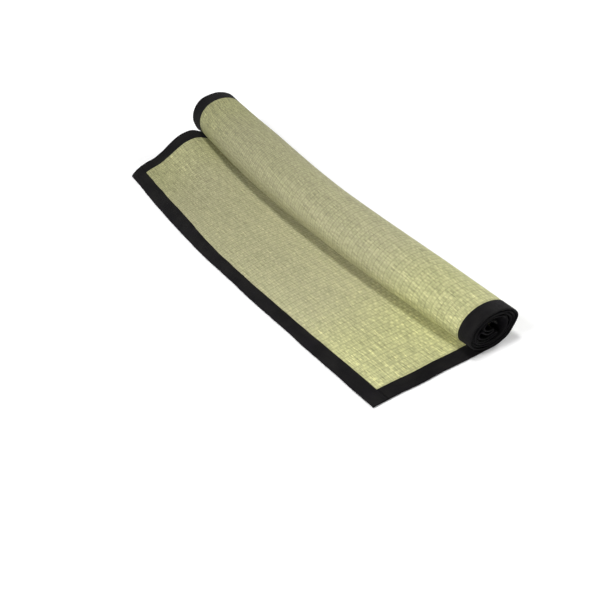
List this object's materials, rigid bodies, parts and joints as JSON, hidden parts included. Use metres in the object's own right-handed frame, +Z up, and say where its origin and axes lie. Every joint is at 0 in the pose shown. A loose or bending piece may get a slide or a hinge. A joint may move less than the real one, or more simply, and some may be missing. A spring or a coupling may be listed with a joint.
{
  "type": "rush mat",
  "caption": "Woven rush mat with black cotton binding, one end laid flat and the rest wound in a loose roll.",
  "frame": {"origin": "on the floor, under the middle of the mat's box", "axes": "+X across the mat along the roll, from its left end to its right end seen from the flat front edge; +Y from the flat front edge to the roll; +Z up"},
  "size_m": [0.9, 0.3128, 0.108],
  "materials": {
    "rush": "matte woven rush",
    "binding": "matte cotton tape"
  },
  "bodies": {
    "root": {"rush_cloth": "rush", "binding_front": "binding", "binding_left": "binding", "binding_right": "binding"}
  },
  "joints": []
}
